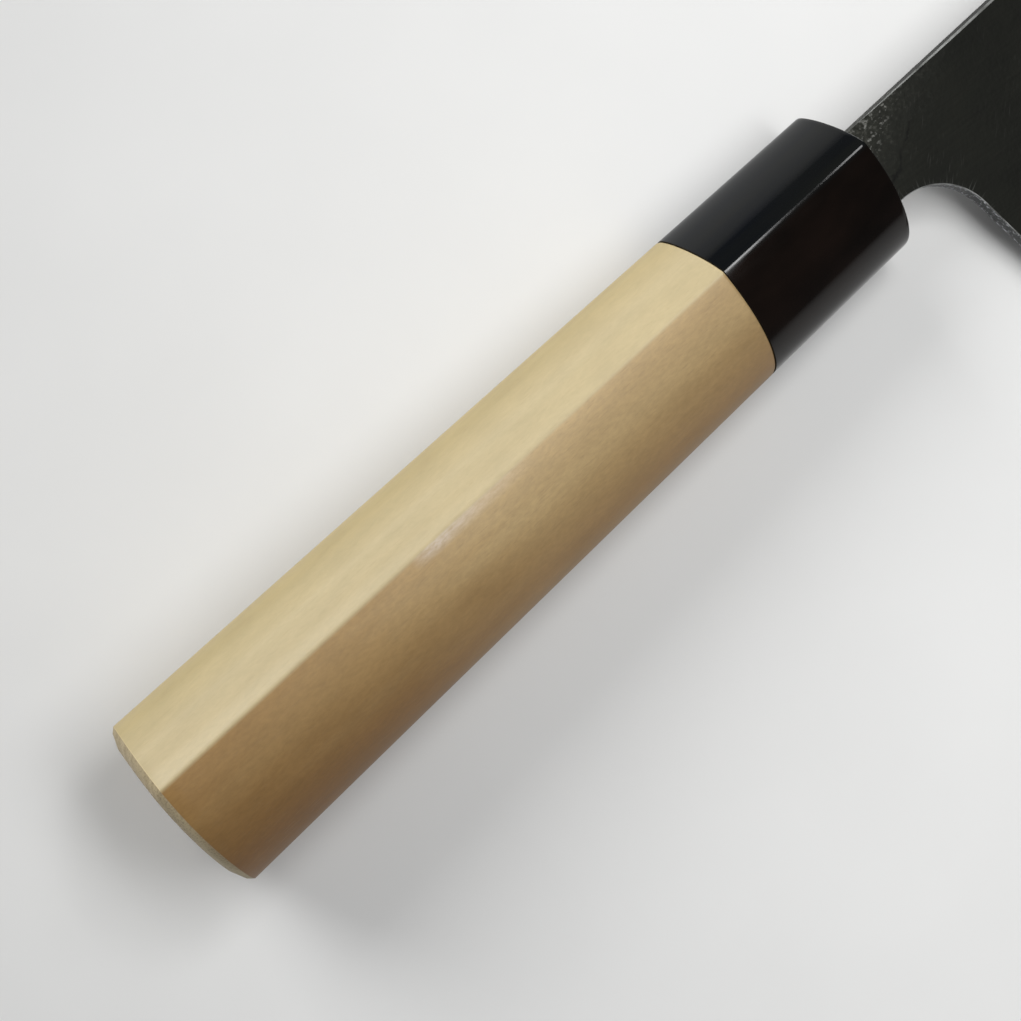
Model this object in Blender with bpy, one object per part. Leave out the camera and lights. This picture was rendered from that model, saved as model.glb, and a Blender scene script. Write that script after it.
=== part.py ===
"""Funayuki: a Japanese kitchen knife with a three-layer blade and a D-section handle.

The pieces are modelled in the knife's own frame, in metres: +X runs from the ferrule's front face to the
tip, +Y from the cutting edge to the spine, and +Z out of the right side. At the end one empty lays the
whole knife down on its left side, with the floor at height zero.
"""
import math

import bmesh
import bpy
from mathutils import Matrix, Vector
from mathutils.geometry import intersect_point_tri

# Handle: a D section that grows evenly from the ferrule's front face to the butt, whose face is
# crowned: it stands back by the crown at the top and bottom of the section
HANDLE_LENGTH = 0.127
FERRULE_LENGTH = 0.027
SECTION_HEIGHT = 0.0234
BUTT_HEIGHT = 0.0271
RIGHT_DEPTH = 0.0103
LEFT_DEPTH = 0.0086
WIDEST_DEPTH = -0.0018
BUTT_CHAMFER = 0.0010
BUTT_CROWN = 0.0011

# Ridge line: its height above the handle's axis, and how the two facets leave it and end
RIDGE_HEIGHT = 0.0049
UPPER_FACET_ANGLE = math.radians(36)
UPPER_FACET_REACH = 0.0040
UPPER_FACET_END_REACH = 0.0023
LOWER_FACET_ANGLE = math.radians(0.6)
LOWER_FACET_REACH = 0.0098
LOWER_FACET_END_REACH = 0.0059

# Tang: the tail of the blade, let into a burnt-in slot and bedded there in resin
TANG_LENGTH = 0.092
TANG_ROOT_HEIGHT = 0.0106
TANG_END_HEIGHT = 0.0056
TANG_END_THICKNESS = 0.0024
SLOT_SPARE = 0.0006
SLOT_END_SPARE = 0.0015
BEDDING_GAP = 0.00005
BEDDING_SETBACK = 0.0006

# Round tenon on the handle, its wall outside the slot, and the thin glue lines round it
TENON_WALL = 0.0008
TENON_CLEARANCE = 0.0002
TENON_SETBACK = 0.0004
GLUE_LINE = 0.00005
TENON_RADIUS = TANG_ROOT_HEIGHT / 2 + SLOT_SPARE + TENON_WALL

# Blade profile: spine line, neck, heel and tip, measured from the handle's axis
BLADE_REACH = 0.181
HEEL_HEIGHT = 0.047
SPINE_LEVEL = 0.0060
NECK_HEIGHT = 0.0122
SHOULDER_GAP = 0.0010
CHOIL_RADIUS = 0.0099
CHOIL_START = 0.0028
HEEL_LEAN = math.radians(8.5)
TIP_DROP = 0.0140
TIP_BLUNT = 0.0006
SPINE_BEND_START = 0.070
SPINE_BEND_POWER = 2.2
BELLY_POWER = 3.2

# Blade thickness: flat tapered cheeks down to the shinogi line, then ground bevels to the edge
SPINE_THICKNESS = 0.0035
SPINE_TIP_THICKNESS = 0.0019
SHINOGI_THICKNESS = 0.0024
SHINOGI_RISE = 0.0150
CORE_THICKNESS = 0.0009
LAMINATION_GAP = 0.00002
SPINE_EASE = 0.0003

# Forged facet at the neck: where it starts at the ferrule, where it runs out on the spine, how deep
NECK_FACET_FOOT = 0.0098
NECK_FACET_LENGTH = 0.0205
NECK_FACET_DEPTH = 0.0004

# How finely curves are cut into flats
SECTION_STEPS = 8
CROWN_STEPS = 6
ROUND_SIDES = 32
SPINE_STEPS = 16
EDGE_STEPS = 32
CHOIL_STEPS = 8

# How far cutters stand past what they cut, and the stock left outside for grinding
OVERSHOOT = 0.005
GRINDING_STOCK = 0.0003

# Blade faces that turn more than this meet in a crisp line
BLADE_SHARP_ANGLE = math.radians(2.5)

# Corners closer than this are one corner
WELD_DISTANCE = 0.000004

# Faces that turn less than this are one flat face
FLAT_ANGLE = math.radians(0.05)

# Bezier handle length for a quarter of an ellipse, as a share of its radius
QUARTER_ROUND = 0.5523

# Densities in kg per cubic metre, for the knife's balance when it lies down
STEEL = 7850.0
HORN = 1300.0
HO_WOOD = 480.0
RESIN = 1100.0

BELOW_AXIS = SPINE_LEVEL - HEEL_HEIGHT
NECK_LEVEL = SPINE_LEVEL - NECK_HEIGHT
TIP_LEVEL = SPINE_LEVEL - TIP_DROP

# Half thickness lost per metre towards the edge, the tip and the tang's end, and the ground angle
EDGE_TAPER = (SPINE_THICKNESS - SHINOGI_THICKNESS) / 2 / (HEEL_HEIGHT - SHINOGI_RISE)
TIP_TAPER = (SPINE_THICKNESS - SPINE_TIP_THICKNESS) / 2 / BLADE_REACH
TANG_TAPER = (SPINE_THICKNESS - TANG_END_THICKNESS) / 2 / TANG_LENGTH
BEVEL_ANGLE = math.atan(SHINOGI_THICKNESS / 2 / SHINOGI_RISE)


def clear_scene():
    for item in list(bpy.data.objects):
        bpy.data.objects.remove(item, do_unlink=True)


def new_collection(name):
    collection = bpy.data.collections.new(name)
    bpy.context.scene.collection.children.link(collection)
    return collection


def new_material(name, colour, roughness, metallic=0.0):
    material = bpy.data.materials.new(name)
    material.use_nodes = True
    surface = material.node_tree.nodes["Principled BSDF"]
    surface.inputs["Base Color"].default_value = (*colour, 1.0)
    surface.inputs["Roughness"].default_value = roughness
    surface.inputs["Metallic"].default_value = metallic
    return material


def loft(name, rings, collection):
    """Join rings of equally many points into one closed body with flat ends."""
    shape = bmesh.new()
    rows = [[shape.verts.new(point) for point in ring] for ring in rings]
    count = len(rings[0])
    for first, second in zip(rows, rows[1:]):
        for side in range(count):
            following = (side + 1) % count
            shape.faces.new((first[side], first[following], second[following], second[side]))
    shape.faces.new(reversed(rows[0]))
    shape.faces.new(rows[-1])
    bmesh.ops.recalc_face_normals(shape, faces=shape.faces)
    mesh = bpy.data.meshes.new(name)
    shape.to_mesh(mesh)
    shape.free()
    return add_object(name, mesh, collection)


def add_object(name, mesh, collection):
    body = bpy.data.objects.new(name, mesh)
    collection.objects.link(body)
    return body


def curve_to_mesh(curve_object, name, collection):
    """Replace a filled and extruded curve by its mesh, with whole caps welded to the walls."""
    bpy.context.view_layer.update()
    depsgraph = bpy.context.evaluated_depsgraph_get()
    mesh = bpy.data.meshes.new_from_object(curve_object.evaluated_get(depsgraph))
    mesh.name = name
    mesh.transform(curve_object.matrix_world)
    bpy.data.objects.remove(curve_object, do_unlink=True)
    shape = bmesh.new()
    shape.from_mesh(mesh)
    bmesh.ops.remove_doubles(shape, verts=shape.verts, dist=WELD_DISTANCE)
    bmesh.ops.dissolve_limit(shape, angle_limit=FLAT_ANGLE, verts=shape.verts, edges=shape.edges)
    bmesh.ops.recalc_face_normals(shape, faces=shape.faces)
    shape.to_mesh(mesh)
    shape.free()
    return add_object(name, mesh, collection)


def flat_curve(name, half_thickness, collection):
    curve = bpy.data.curves.new(name, "CURVE")
    curve.dimensions = "2D"
    curve.fill_mode = "BOTH"
    curve.extrude = half_thickness
    curve_object = bpy.data.objects.new(name, curve)
    collection.objects.link(curve_object)
    return curve_object


def boolean(body, cutter, operation="DIFFERENCE"):
    modifier = body.modifiers.new(cutter.name, "BOOLEAN")
    modifier.object = cutter
    modifier.operation = operation
    modifier.solver = "EXACT"


def clean_up(body):
    """Weld corners that lie double, and give the many-sided faces well-shaped triangles."""
    weld = body.modifiers.new("weld", "WELD")
    weld.merge_threshold = WELD_DISTANCE
    triangles = body.modifiers.new("triangles", "TRIANGULATE")
    triangles.quad_method = "BEAUTY"
    triangles.ngon_method = "BEAUTY"


def hide_cutter(cutter):
    cutter.hide_render = True
    cutter.display_type = "WIRE"
    return cutter


def shade(body, material, sharp_angle=math.radians(30)):
    body.data.materials.clear()
    body.data.materials.append(material)
    body.data.shade_smooth()
    body.data.set_sharp_from_angle(angle=sharp_angle)


# Handle and ferrule


def growth_at(x):
    """How many times as large as at the ferrule's front face the section is at x."""
    height = SECTION_HEIGHT + (BUTT_HEIGHT - SECTION_HEIGHT) * -x / HANDLE_LENGTH
    return height / SECTION_HEIGHT


def section_curve(name, half_length, collection):
    """The D section: a round left side, and two facets that meet in the ridge on the right."""
    top = Vector((SECTION_HEIGHT / 2, WIDEST_DEPTH, 0))
    left = Vector((0, -LEFT_DEPTH, 0))
    bottom = Vector((-SECTION_HEIGHT / 2, WIDEST_DEPTH, 0))
    ridge = Vector((RIDGE_HEIGHT, RIGHT_DEPTH, 0))
    round_depth = Vector((0, QUARTER_ROUND * (LEFT_DEPTH + WIDEST_DEPTH), 0))
    round_height = Vector((QUARTER_ROUND * SECTION_HEIGHT / 2, 0, 0))
    upper_way = Vector((math.cos(UPPER_FACET_ANGLE), -math.sin(UPPER_FACET_ANGLE), 0))
    lower_way = Vector((-math.cos(LOWER_FACET_ANGLE), -math.sin(LOWER_FACET_ANGLE), 0))
    corners = (
        (ridge, ridge + lower_way * LOWER_FACET_REACH, ridge + upper_way * UPPER_FACET_REACH),
        (top, top + Vector((0, UPPER_FACET_END_REACH, 0)), top - round_depth),
        (left, left + round_height, left - round_height),
        (bottom, bottom - round_depth, bottom + Vector((0, LOWER_FACET_END_REACH, 0))),
    )
    curve_object = flat_curve(name, half_length, collection)
    curve = curve_object.data
    curve.resolution_u = SECTION_STEPS
    spline = curve.splines.new("BEZIER")
    spline.use_cyclic_u = True
    spline.bezier_points.add(len(corners) - 1)
    for point, (place, arriving, leaving) in zip(spline.bezier_points, corners):
        point.handle_left_type = "FREE"
        point.handle_right_type = "FREE"
        point.co = place
        point.handle_left = arriving
        point.handle_right = leaving
    return curve_object


def handle_length_of(name, front_x, back_x, collection):
    """A length of the D section between two stations, tapered as the whole handle is."""
    half_length = (front_x - back_x) / 2
    curve_object = section_curve(name, half_length, collection)
    curve_object.rotation_euler = (math.radians(90), 0, math.radians(90))
    curve_object.location = ((front_x + back_x) / 2, 0, 0)
    body = curve_to_mesh(curve_object, name, collection)
    for vertex in body.data.vertices:
        growth = growth_at(vertex.co.x)
        vertex.co.y *= growth
        vertex.co.z *= growth
    return body


def crowned_butt(level):
    """Where the butt face lies at a height above the axis."""
    return -HANDLE_LENGTH + BUTT_CROWN * (level / (BUTT_HEIGHT / 2)) ** 2


def crown_planes():
    """The flats that the crowned butt face is sanded to."""
    levels = [BUTT_HEIGHT * (step / CROWN_STEPS - 0.5) for step in range(CROWN_STEPS + 1)]
    places = [Vector((crowned_butt(level), level, 0)) for level in levels]
    planes = []
    for low, high in zip(places, places[1:]):
        along = high - low
        planes.append((low, Vector((-along.y, along.x, 0))))
    return planes


def chamfer_planes(body):
    """The chamfer round the butt face, one flat along each side of the section."""
    butt = min(body.data.polygons, key=lambda face: face.center.x)
    rim = [body.data.vertices[index].co.copy() for index in butt.vertices]
    planes = []
    for start, end in zip(rim, rim[1:] + rim[:1]):
        side = Vector((0, end.z - start.z, start.y - end.y)).normalized()
        if side.dot(start) < 0:
            side = -side
        first, second = (
            Vector((crowned_butt(corner.y) + BUTT_CHAMFER, corner.y, corner.z)) for corner in (start, end)
        )
        outward = (second - first).cross(side + Vector((1, 0, 0)))
        planes.append((first, outward if outward.dot(side) > 0 else -outward))
    return planes


def axial_cylinder(name, radius, front_x, back_x, collection):
    bpy.ops.mesh.primitive_cylinder_add(
        vertices=ROUND_SIDES,
        radius=radius,
        depth=front_x - back_x,
        location=((front_x + back_x) / 2, 0, 0),
        rotation=(0, math.radians(90), 0),
    )
    cylinder = bpy.context.object
    cylinder.name = name
    for owner in list(cylinder.users_collection):
        owner.objects.unlink(cylinder)
    collection.objects.link(cylinder)
    return hide_cutter(cylinder)


def make_ferrule(parts, cutters, material):
    ferrule = handle_length_of("ferrule_horn", 0, -FERRULE_LENGTH, parts)
    bore = axial_cylinder(
        "ferrule_bore", TENON_RADIUS + TENON_CLEARANCE, OVERSHOOT, -FERRULE_LENGTH - OVERSHOOT, cutters
    )
    boolean(ferrule, bore)
    clean_up(ferrule)
    shade(ferrule, material)
    return ferrule


def make_handle(parts, cutters, material):
    stock_x = -HANDLE_LENGTH - GRINDING_STOCK
    wood = handle_length_of("handle_wood", -FERRULE_LENGTH - GLUE_LINE, stock_x, parts)
    grind(wood, chamfer_planes(wood) + crown_planes())
    tenon_root = -FERRULE_LENGTH - OVERSHOOT
    tenon = axial_cylinder("handle_tenon", TENON_RADIUS, -TENON_SETBACK, tenon_root, cutters)
    boolean(wood, tenon, "UNION")
    boolean(wood, slot_cutter(cutters))
    clean_up(wood)
    shade(wood, material)
    return wood


# Tang slot and its bedding


def tang_half_height(x):
    share = min(max(-x / TANG_LENGTH, 0), 1)
    return (TANG_ROOT_HEIGHT + (TANG_END_HEIGHT - TANG_ROOT_HEIGHT) * share) / 2


def tang_ring(x, spare):
    """A rectangle round the tang at x, clear of it by the spare width."""
    high = tang_half_height(x) + spare
    wide = bar_half_thickness(min(x, 0), tang_half_height(x)) + spare
    return [(x, high, wide), (x, -high, wide), (x, -high, -wide), (x, high, -wide)]


def slot_cutter(cutters):
    stations = (OVERSHOOT, 0, -TANG_LENGTH, -TANG_LENGTH - SLOT_END_SPARE)
    rings = [tang_ring(x, SLOT_SPARE) for x in stations]
    return hide_cutter(loft("tang_slot", rings, cutters))


def make_bedding(parts, cutters, material):
    """Resin between the tang and the slot, closed round the tang's end and open at the mouth."""
    stations = (-BEDDING_SETBACK, -TANG_LENGTH, -TANG_LENGTH - SLOT_END_SPARE + BEDDING_GAP)
    rings = [tang_ring(x, SLOT_SPARE - BEDDING_GAP) for x in stations]
    bedding = loft("tang_bedding", rings, parts)
    room = [tang_ring(x, BEDDING_GAP) for x in (OVERSHOOT, 0, -TANG_LENGTH - BEDDING_GAP)]
    boolean(bedding, hide_cutter(loft("tang_room", room, cutters)))
    shade(bedding, material)
    return bedding


# Blade profile


def spine_level(x):
    bend = max(x - SPINE_BEND_START, 0) / (BLADE_REACH - SPINE_BEND_START)
    return SPINE_LEVEL - (TIP_DROP - TIP_BLUNT / 2) * bend ** SPINE_BEND_POWER


def choil_point(angle):
    """A point of the round hollow between the neck and the heel line."""
    centre = Vector((CHOIL_START, NECK_LEVEL - CHOIL_RADIUS))
    return centre + CHOIL_RADIUS * Vector((math.cos(angle), math.sin(angle)))


def heel_point(level):
    """A point of the straight heel line, which leaves the choil without a corner."""
    choil_end = choil_point(HEEL_LEAN)
    return Vector((choil_end.x + (choil_end.y - level) * math.tan(HEEL_LEAN), level))


def edge_point(share):
    """A point of the cutting edge, from the heel at 0 to the tip at 1."""
    heel = heel_point(BELOW_AXIS)
    rise = TIP_LEVEL - TIP_BLUNT / 2 - BELOW_AXIS
    return Vector((heel.x + (BLADE_REACH - heel.x) * share, BELOW_AXIS + rise * share ** BELLY_POWER))


def inward(start, end):
    """The direction into the blade, square to a stretch of the edge."""
    along = (end - start).normalized()
    return Vector((-along.y, along.x))


def edge_stretches():
    """The cutting edge as straight stretches from the heel to the tip."""
    points = [edge_point(step / EDGE_STEPS) for step in range(EDGE_STEPS + 1)]
    return list(zip(points, points[1:]))


def spine_points():
    """The spine line from the shoulder, straight at first and then bent down to the tip."""
    points = [Vector((SHOULDER_GAP, SPINE_LEVEL))]
    for step in range(SPINE_STEPS + 1):
        x = SPINE_BEND_START + (BLADE_REACH - SPINE_BEND_START) * step / SPINE_STEPS
        points.append(Vector((x, spine_level(x))))
    return points


def blade_outline():
    """The forged profile with its tang, with some stock outside the edge for the grinding."""
    tang_top = TANG_ROOT_HEIGHT / 2
    outline = [
        Vector((-TANG_LENGTH, TANG_END_HEIGHT / 2)),
        Vector((0, tang_top)),
        Vector((SHOULDER_GAP, tang_top)),
    ]
    outline += spine_points()
    for start, end in reversed(edge_stretches()):
        stock = end - inward(start, end) * GRINDING_STOCK
        outline.append(Vector((min(stock.x, BLADE_REACH), stock.y)))
    outline.append(heel_point(BELOW_AXIS - GRINDING_STOCK))
    for step in range(CHOIL_STEPS + 1):
        point = choil_point(HEEL_LEAN + (math.radians(90) - HEEL_LEAN) * step / CHOIL_STEPS)
        if point.x > SHOULDER_GAP:
            outline.append(point)
    outline += [
        Vector((SHOULDER_GAP, NECK_LEVEL)),
        Vector((SHOULDER_GAP, -tang_top)),
        Vector((0, -tang_top)),
        Vector((-TANG_LENGTH, -TANG_END_HEIGHT / 2)),
    ]
    return outline


def profiled_plate(name, low, high, collection):
    """A plate of the blade's outline between two heights."""
    outline = flat_curve(name, (high - low) / 2, collection)
    spline = outline.data.splines.new("POLY")
    points = blade_outline()
    spline.points.add(len(points) - 1)
    for point, place in zip(spline.points, points):
        point.co = (*place, 0, 1)
    spline.use_cyclic_u = True
    outline.location.z = (high + low) / 2
    return curve_to_mesh(outline, name, collection)


# Blade thickness


def bar_half_thickness(x, level):
    """Half the forged bar's thickness: it tapers to the edge, to the tip and to the tang's end."""
    lengthwise = TIP_TAPER * x if x > 0 else TANG_TAPER * -x
    return SPINE_THICKNESS / 2 - EDGE_TAPER * (SPINE_LEVEL - level) - lengthwise


def cheek_planes(side):
    """The flats of the forged bar on one side: one runs to the tip, the other to the tang's end."""
    place = Vector((0, SPINE_LEVEL, side * SPINE_THICKNESS / 2))
    return [
        (place, Vector((TIP_TAPER, -EDGE_TAPER, side))),
        (place, Vector((-TANG_TAPER, -EDGE_TAPER, side))),
    ]


def bevel_planes(side):
    """The flats that grinding leaves on one side, one along each stretch of the edge."""
    planes = []
    for start, end in edge_stretches():
        rise = inward(start, end) * math.tan(BEVEL_ANGLE)
        planes.append((Vector((*start, 0)), Vector((-rise.x, -rise.y, side))))
    return planes


def ease_planes(side):
    """The small chamfer along the spine's corner on one side."""
    planes = []
    points = spine_points()
    for start, end in zip(points, points[1:]):
        low_start = Vector((*start, side * (bar_half_thickness(*start) - SPINE_EASE)))
        low_end = Vector((*end, side * (bar_half_thickness(*end) - SPINE_EASE)))
        inset = start - Vector((0, SPINE_EASE))
        on_cheek = Vector((*inset, side * bar_half_thickness(*inset)))
        outward = (on_cheek - low_start).cross(low_end - low_start) * side
        planes.append((low_start, outward))
    return planes


def neck_cutter(side, cutters):
    """Takes the forged facet off a cheek: it dips towards the spine and the ferrule."""
    back = -TENON_SETBACK / 2
    top = SPINE_LEVEL + OVERSHOOT
    foot = SPINE_LEVEL - NECK_FACET_FOOT - OVERSHOOT
    front = NECK_FACET_LENGTH / NECK_FACET_FOOT * (top - foot)
    flat = []
    outside = []
    for x, level in ((back, foot), (front, top), (back, top)):
        below_spine = SPINE_LEVEL - level
        dip = NECK_FACET_DEPTH * (1 - x / NECK_FACET_LENGTH - below_spine / NECK_FACET_FOOT)
        cheek = SPINE_THICKNESS / 2 - EDGE_TAPER * below_spine - TIP_TAPER * x
        flat.append((x, level, side * (cheek - dip)))
        outside.append((x, level, side * SPINE_THICKNESS))
    return hide_cutter(loft("neck_facet_" + side_name(side), [flat, outside], cutters))


def grind(body, planes):
    """Cut away all that stands outside each plane, and close the cut with a flat face."""
    shape = bmesh.new()
    shape.from_mesh(body.data)
    for place, outward in planes:
        everything = shape.verts[:] + shape.edges[:] + shape.faces[:]
        cut = bmesh.ops.bisect_plane(
            shape,
            geom=everything,
            dist=WELD_DISTANCE,
            plane_co=place,
            plane_no=outward.normalized(),
            clear_outer=True,
        )
        edges = [item for item in cut["geom_cut"] if isinstance(item, bmesh.types.BMEdge)]
        bmesh.ops.holes_fill(shape, edges=[edge for edge in edges if edge.is_boundary])
    bmesh.ops.recalc_face_normals(shape, faces=shape.faces)
    shape.to_mesh(body.data)
    shape.free()


def side_name(side):
    return "right" if side > 0 else "left"


def make_layer(name, low, high, ground_sides, collection):
    """One layer of the bar between two heights, ground on its outer sides."""
    layer = profiled_plate(name, low, high, collection)
    for side in ground_sides:
        grind(layer, cheek_planes(side) + bevel_planes(side) + ease_planes(side))
    return layer


def make_core(parts, material):
    core = make_layer("blade_core", -CORE_THICKNESS / 2, CORE_THICKNESS / 2, (1, -1), parts)
    clean_up(core)
    shade(core, material, BLADE_SHARP_ANGLE)
    return core


def make_cladding(side, parts, cutters, material):
    inner = side * (CORE_THICKNESS / 2 + LAMINATION_GAP)
    outer = side * SPINE_THICKNESS
    name = "blade_cladding_" + side_name(side)
    cladding = make_layer(name, min(inner, outer), max(inner, outer), (side,), parts)
    boolean(cladding, neck_cutter(side, cutters))
    clean_up(cladding)
    shade(cladding, material, BLADE_SHARP_ANGLE)
    return cladding


# The knife at rest on its left side


def corners_and_balance(densities):
    """Every corner of the finished pieces, and the knife's centre of mass."""
    bpy.context.view_layer.update()
    depsgraph = bpy.context.evaluated_depsgraph_get()
    corners = []
    mass = 0.0
    moment = Vector()
    for piece, density in densities.items():
        finished = piece.evaluated_get(depsgraph)
        mesh = finished.to_mesh()
        mesh.calc_loop_triangles()
        places = [vertex.co.copy() for vertex in mesh.vertices]
        for triangle in mesh.loop_triangles:
            a, b, c = (places[index] for index in triangle.vertices)
            wedge = a.dot(b.cross(c)) / 6 * density
            mass += wedge
            moment += wedge * (a + b + c) / 4
        corners += places
        finished.to_mesh_clear()
    return corners, moment / mass


def resting_plane(corners, balance):
    """The face of the knife's hull, on its left side, that lies under its centre of mass."""
    hull = bmesh.new()
    for corner in corners:
        hull.verts.new(corner)
    bmesh.ops.convex_hull(hull, input=hull.verts)
    best = None
    for face in hull.faces:
        a, b, c = (vertex.co.copy() for vertex in face.verts)
        normal = (b - a).cross(c - a).normalized()
        if normal.dot(balance - a) > 0:
            normal = -normal
        foot = balance + normal * normal.dot(a - balance)
        if normal.z < 0 and intersect_point_tri(foot, a, b, c):
            height = (foot - balance).length
            if best is None or height < best[0]:
                best = (height, normal)
    hull.free()
    return best[1]


def lay_down(root, densities):
    """Turn and shift the empty so that the knife lies on the floor, centred on the origin."""
    corners, balance = corners_and_balance(densities)
    up = -resting_plane(corners, balance)
    along = Vector((1, 0, 0))
    along = (along - up * along.dot(up)).normalized()
    turn = Matrix((along, up.cross(along), up))
    placed = [turn @ corner for corner in corners]
    lows = [min(place[axis] for place in placed) for axis in range(3)]
    highs = [max(place[axis] for place in placed) for axis in range(3)]
    centre = Vector(((lows[0] + highs[0]) / 2, (lows[1] + highs[1]) / 2, lows[2]))
    root.matrix_world = Matrix.Translation(-centre) @ turn.to_4x4()


def main():
    clear_scene()
    parts = new_collection("funayuki_knife")
    cutters = new_collection("cutters")
    core_steel = new_material("core_steel", (0.62, 0.62, 0.60), 0.22, 1.0)
    cladding_iron = new_material("cladding_iron", (0.045, 0.046, 0.040), 0.50, 0.7)
    black_horn = new_material("black_horn", (0.012, 0.011, 0.010), 0.18)
    pale_wood = new_material("pale_wood", (0.62, 0.50, 0.34), 0.50)
    pine_resin = new_material("pine_resin", (0.20, 0.09, 0.03), 0.35)

    core = make_core(parts, core_steel)
    right = make_cladding(1, parts, cutters, cladding_iron)
    left = make_cladding(-1, parts, cutters, cladding_iron)
    ferrule = make_ferrule(parts, cutters, black_horn)
    wood = make_handle(parts, cutters, pale_wood)
    bedding = make_bedding(parts, cutters, pine_resin)

    root = bpy.data.objects.new("knife_at_rest", None)
    parts.objects.link(root)
    densities = {core: STEEL, right: STEEL, left: STEEL, ferrule: HORN, wood: HO_WOOD, bedding: RESIN}
    lay_down(root, densities)
    for item in list(parts.objects) + list(cutters.objects):
        if item is not root:
            item.parent = root


main()
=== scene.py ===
"""Looks for the funayuki knife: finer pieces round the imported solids, their materials, lamps and camera.

The pieces are made in the knife's own frame, in metres: +X runs from the ferrule's front face to the tip,
+Y from the cutting edge to the spine, and +Z out of the right side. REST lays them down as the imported
solids lie.
"""
import math

import bmesh
import bpy
from mathutils import Euler, Matrix, Vector


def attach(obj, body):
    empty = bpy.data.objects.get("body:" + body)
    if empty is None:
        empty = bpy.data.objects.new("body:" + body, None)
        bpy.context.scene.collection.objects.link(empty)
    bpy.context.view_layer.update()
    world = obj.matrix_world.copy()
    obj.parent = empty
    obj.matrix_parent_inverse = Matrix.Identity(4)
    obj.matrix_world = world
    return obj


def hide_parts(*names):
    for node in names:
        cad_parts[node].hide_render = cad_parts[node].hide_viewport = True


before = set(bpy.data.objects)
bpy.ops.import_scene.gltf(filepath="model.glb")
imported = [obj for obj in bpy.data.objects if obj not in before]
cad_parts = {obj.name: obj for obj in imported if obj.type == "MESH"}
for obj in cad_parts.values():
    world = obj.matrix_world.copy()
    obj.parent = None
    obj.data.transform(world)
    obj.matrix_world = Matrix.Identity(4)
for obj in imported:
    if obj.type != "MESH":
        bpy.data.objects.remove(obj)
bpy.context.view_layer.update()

# How the knife lies on its left side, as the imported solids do
REST_PLACE = Vector((-0.0267932, 0.0135193, 0.0086757))
REST_PITCH = math.radians(2.19410)
REST_ROLL = math.radians(6.82108)
REST = Matrix.LocRotScale(REST_PLACE, Euler((REST_ROLL, REST_PITCH, 0)), None)

# Handle: a D section that grows evenly from the ferrule's front face to the butt
HANDLE_LENGTH = 0.127
FERRULE_LENGTH = 0.027
SECTION_HEIGHT = 0.0234
BUTT_HEIGHT = 0.0271
RIGHT_DEPTH = 0.0103
LEFT_DEPTH = 0.0086
WIDEST_DEPTH = -0.0018
BUTT_CROWN = 0.0011

# The flats that round the wood's two ends: each one's lean and how far along the side it reaches
BUTT_FACETS = ((0.41, 0.0013), (0.9, 0.0012), (2.3, 0.00075))
FRONT_FACETS = ((0.52, 0.0004), (1.6, 0.0002))

# Ridge line: its height above the handle's axis, and how the two facets leave it and end
RIDGE_HEIGHT = 0.0049
UPPER_FACET_ANGLE = math.radians(36)
UPPER_FACET_REACH = 0.0040
UPPER_FACET_END_REACH = 0.0023
LOWER_FACET_ANGLE = math.radians(0.6)
LOWER_FACET_REACH = 0.0098
LOWER_FACET_END_REACH = 0.0059

# Tang, its slot and the round tenon of the handle
TANG_LENGTH = 0.092
TANG_ROOT_HEIGHT = 0.0106
TANG_END_HEIGHT = 0.0056
TANG_END_THICKNESS = 0.0024
SLOT_SPARE = 0.0006
SLOT_END_SPARE = 0.0015
TENON_WALL = 0.0008
TENON_CLEARANCE = 0.0002
TENON_SETBACK = 0.0004
GLUE_LINE = 0.00005
TENON_RADIUS = TANG_ROOT_HEIGHT / 2 + SLOT_SPARE + TENON_WALL

# Blade profile and thickness
BLADE_REACH = 0.181
HEEL_HEIGHT = 0.047
SPINE_LEVEL = 0.0060
NECK_HEIGHT = 0.0122
SHOULDER_GAP = 0.0010
CHOIL_RADIUS = 0.0099
CHOIL_START = 0.0028
HEEL_LEAN = math.radians(8.5)
TIP_DROP = 0.0140
TIP_BLUNT = 0.0006
SPINE_BEND_START = 0.070
SPINE_BEND_POWER = 2.2
BELLY_POWER = 3.2
SPINE_THICKNESS = 0.0035
SPINE_TIP_THICKNESS = 0.0019
SHINOGI_THICKNESS = 0.0024
SHINOGI_RISE = 0.0150
CORE_THICKNESS = 0.0009
LAMINATION_GAP = 0.00002
SPINE_EASE = 0.0003

# Forged dip at the neck as two facets, each with its foot below the spine, its length and its depth
NECK_FACETS = ((0.0108, 0.0195, 0.0004), (0.0065, 0.0260, 0.0003))

# How finely curves are cut into flats here
SECTION_STEPS = 28
CROWN_STEPS = 24
ROUND_SIDES = 96
SPINE_STEPS = 40
EDGE_STEPS = 96
CHOIL_STEPS = 64

# Soft rounding that polishing leaves on the pieces' edges
RIDGE_ROUND = 0.00025
HORN_RIDGE_ROUND = 0.0008
RIM_ROUND = 0.0003
ROUND_SEGMENTS = 3
BLADE_RIM_ROUND = 0.00012
BLADE_ROUND_SEGMENTS = 2

# Rings a little inside the rounded ends keep the shading of the long faces straight
FERRULE_FRONT_RING = -0.0007
HANDLE_BACK_RING = -0.1235

# The wood's rings, flecks and pores
WOOD_DARK = (0.515, 0.400, 0.212)
WOOD_PALE = (0.560, 0.447, 0.250)
PORE_TONE = (0.28, 0.18, 0.085)
PORE_SHARE = 0.25
PORE_DEPTH_SHARE = 0.6
UPPER_GRAIN_SHARE = 0.45

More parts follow.
